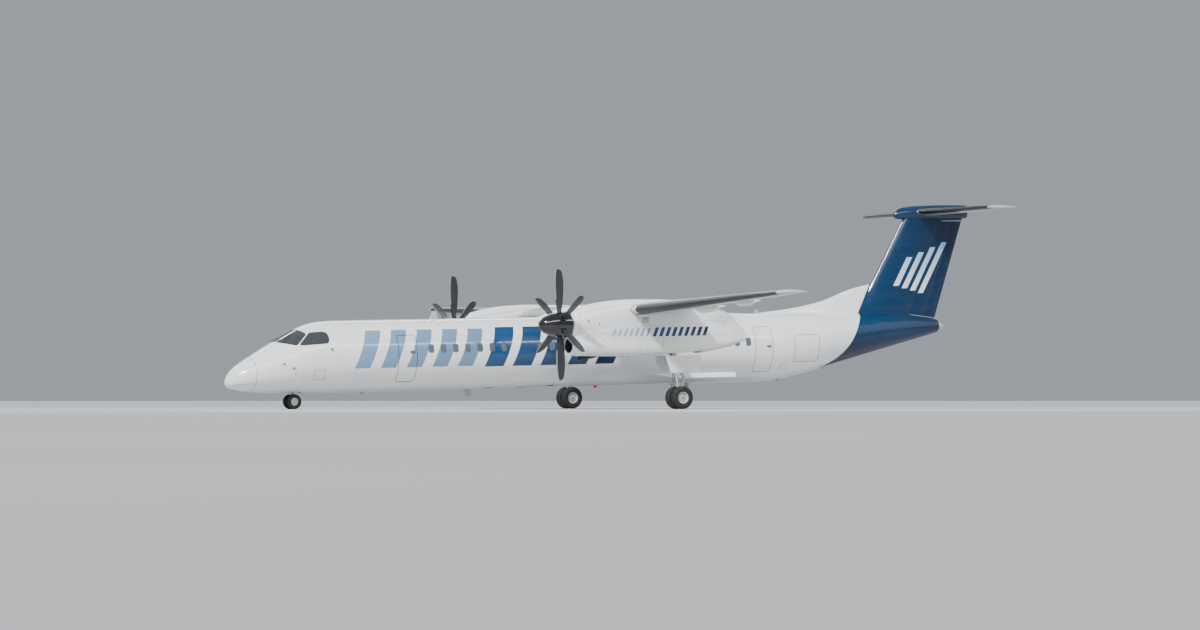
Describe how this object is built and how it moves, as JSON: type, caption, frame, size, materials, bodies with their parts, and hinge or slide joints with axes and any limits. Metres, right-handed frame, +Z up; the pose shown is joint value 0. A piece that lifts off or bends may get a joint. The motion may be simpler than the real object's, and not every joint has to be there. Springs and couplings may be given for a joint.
{
  "type": "turboprop airliner",
  "caption": "High-wing regional airliner with a T-tail, turboprop engines under the wing, tall twin-wheel main legs, stairs in the front door and a white and blue finish.",
  "frame": {"origin": "on level ground, under the middle of the whole aircraft's box", "axes": "-X to the nose, +X to the tail, +Y to the right wing tip, +Z up; the cabin stands 1.5 degrees nose down"},
  "size_m": [32.6628, 28.42, 8.2961],
  "materials": {
    "body_paint": "gloss",
    "tail_paint": "gloss",
    "wing_paint": "satin",
    "deice_boot": "satin",
    "cockpit_glass": "polished",
    "engine_metal": "matte",
    "blade_paint": "satin",
    "spinner_paint": "gloss",
    "gear_paint": "satin",
    "rim_metal": "satin",
    "tyre_rubber": "matte"
  },
  "bodies": {
    "root": {"fuselage": "body_paint", "radome": "body_paint", "cockpit_glazing": "cockpit_glass", "tail_cone": "wing_paint", "wing_centre": "wing_paint", "wing_body_fairing": "body_paint", "flap_inner_left": "wing_paint", "wing_left": "wing_paint", "wing_boot_left": "deice_boot", "flap_outer_left": "wing_paint", "belly_strake_left": "body_paint", "flap_inner_right": "wing_paint", "wing_right": "wing_paint", "wing_boot_right": "deice_boot", "flap_outer_right": "wing_paint", "belly_strake_right": "body_paint", "fin": "tail_paint", "fin_tip_fairing": "tail_paint", "tailplane": "wing_paint", "tailplane_boot_left": "deice_boot", "tailplane_boot_right": "deice_boot", "nacelle_left": "body_paint", "engine_left": "engine_metal", "main_leg_left": "gear_paint", "nacelle_right": "body_paint", "engine_right": "engine_metal", "main_leg_right": "gear_paint", "nose_leg": "gear_paint"},
    "nose_fork": {"nose_fork": "gear_paint"},
    "nose_wheels": {"nose_tyre_left": "tyre_rubber", "nose_rim_left": "rim_metal", "nose_tyre_right": "tyre_rubber", "nose_rim_right": "rim_metal"},
    "airstair": {"airstair_door": "body_paint"},
    "elevators": {"elevator_left": "wing_paint", "elevator_right": "wing_paint"},
    "rudder": {"rudder": "tail_paint"},
    "rudder_trailing": {"rudder_trailing": "tail_paint"},
    "propeller_left": {"propeller_left": "blade_paint", "spinner_left": "spinner_paint"},
    "main_wheels_left": {"main_tyre_left_inner": "tyre_rubber", "main_rim_left_inner": "rim_metal", "main_tyre_left_outer": "tyre_rubber", "main_rim_left_outer": "rim_metal"},
    "aileron_left": {"aileron_left": "wing_paint"},
    "nose_gear_door_left": {"nose_gear_door_left": "body_paint"},
    "main_gear_door_left_inner": {"main_gear_door_left_inner": "body_paint"},
    "main_gear_door_left_outer": {"main_gear_door_left_outer": "body_paint"},
    "propeller_right": {"propeller_right": "blade_paint", "spinner_right": "spinner_paint"},
    "main_wheels_right": {"main_tyre_right_inner": "tyre_rubber", "main_rim_right_inner": "rim_metal", "main_tyre_right_outer": "tyre_rubber", "main_rim_right_outer": "rim_metal"},
    "aileron_right": {"aileron_right": "wing_paint"},
    "nose_gear_door_right": {"nose_gear_door_right": "body_paint"},
    "main_gear_door_right_inner": {"main_gear_door_right_inner": "body_paint"},
    "main_gear_door_right_outer": {"main_gear_door_right_outer": "body_paint"}
  },
  "joints": [
    {"name": "propeller_left_spin", "type": "hinge", "parent": "root", "child": "propeller_left", "pos_m": [-4.82402, -4.395, 3.12773], "axis": [0.9997, 0, 0.0262], "continuous": true},
    {"name": "propeller_right_spin", "type": "hinge", "parent": "root", "child": "propeller_right", "pos_m": [-4.82402, 4.395, 3.12773], "axis": [0.9997, 0, 0.0262], "continuous": true},
    {"name": "main_wheels_left_roll", "type": "hinge", "parent": "root", "child": "main_wheels_left", "pos_m": [0.2883, -4.395, 0.432], "axis": [0, 1, 0], "continuous": true},
    {"name": "main_wheels_right_roll", "type": "hinge", "parent": "root", "child": "main_wheels_right", "pos_m": [0.2883, 4.395, 0.432], "axis": [0, 1, 0], "continuous": true},
    {"name": "nose_steering", "type": "hinge", "parent": "root", "child": "nose_fork", "pos_m": [-13.65249, 0, 0.2795], "axis": [-0.0262, 0, 0.9997], "range_deg": [-70, 70]},
    {"name": "nose_wheels_roll", "type": "hinge", "parent": "nose_fork", "child": "nose_wheels", "pos_m": [-13.65249, 0, 0.2795], "axis": [0, 1, 0], "continuous": true},
    {"name": "airstair_hinge", "type": "hinge", "parent": "root", "child": "airstair", "pos_m": [-9.89083, -0.9265, 1.02938], "axis": [0.9997, 0, 0.0262], "range_deg": [0, 112]},
    {"name": "nose_gear_door_left_hinge", "type": "hinge", "parent": "root", "child": "nose_gear_door_left", "pos_m": [-14.86481, -0.292, 0.65818], "axis": [-0.9998, 0, 0.0204], "range_deg": [0, 88]},
    {"name": "nose_gear_door_right_hinge", "type": "hinge", "parent": "root", "child": "nose_gear_door_right", "pos_m": [-14.86481, 0.292, 0.65818], "axis": [0.9998, 0, -0.0204], "range_deg": [0, 88]},
    {"name": "main_gear_door_left_outer_hinge", "type": "hinge", "parent": "root", "child": "main_gear_door_left_outer", "pos_m": [1.05153, -4.712, 2.15215], "axis": [-0.9811, 0, -0.1933], "range_deg": [0, 85]},
    {"name": "main_gear_door_left_inner_hinge", "type": "hinge", "parent": "root", "child": "main_gear_door_left_inner", "pos_m": [1.05153, -4.078, 2.15215], "axis": [0.9811, 0, 0.1933], "range_deg": [0, 85]},
    {"name": "main_gear_door_right_outer_hinge", "type": "hinge", "parent": "root", "child": "main_gear_door_right_outer", "pos_m": [1.05153, 4.712, 2.15215], "axis": [0.9811, 0, 0.1933], "range_deg": [0, 85]},
    {"name": "main_gear_door_right_inner_hinge", "type": "hinge", "parent": "root", "child": "main_gear_door_right_inner", "pos_m": [1.05153, 4.078, 2.15215], "axis": [-0.9811, 0, -0.1933], "range_deg": [0, 85]},
    {"name": "aileron_left_hinge", "type": "hinge", "parent": "root", "child": "aileron_left", "pos_m": [-0.24634, -10.166, 4.00302], "axis": [0.0216, 0.9989, -0.0411], "range_deg": [-17, 17]},
    {"name": "aileron_right_hinge", "type": "hinge", "parent": "root", "child": "aileron_right", "pos_m": [-0.24634, 10.166, 4.00302], "axis": [-0.0216, 0.9989, 0.0411], "range_deg": [-17, 17]},
    {"name": "elevators_hinge", "type": "hinge", "parent": "root", "child": "elevators", "pos_m": [15.21547, -1, 7.99397], "axis": [0, 1, 0], "range_deg": [-25, 15]},
    {"name": "rudder_hinge", "type": "hinge", "parent": "root", "child": "rudder", "pos_m": [13.51057, 0, 3.7999], "axis": [0.3847, 0, 0.923], "range_deg": [-18, 18]},
    {"name": "rudder_trailing_hinge", "type": "hinge", "parent": "rudder", "child": "rudder_trailing", "pos_m": [14.23969, 0, 3.819], "axis": [0.3481, 0, 0.9375], "range_deg": [-18, 18]}
  ],
  "couplings": [
    {"joint": "aileron_right_hinge", "follows": "aileron_left_hinge", "ratio": -1},
    {"joint": "rudder_trailing_hinge", "follows": "rudder_hinge", "ratio": 1}
  ]
}
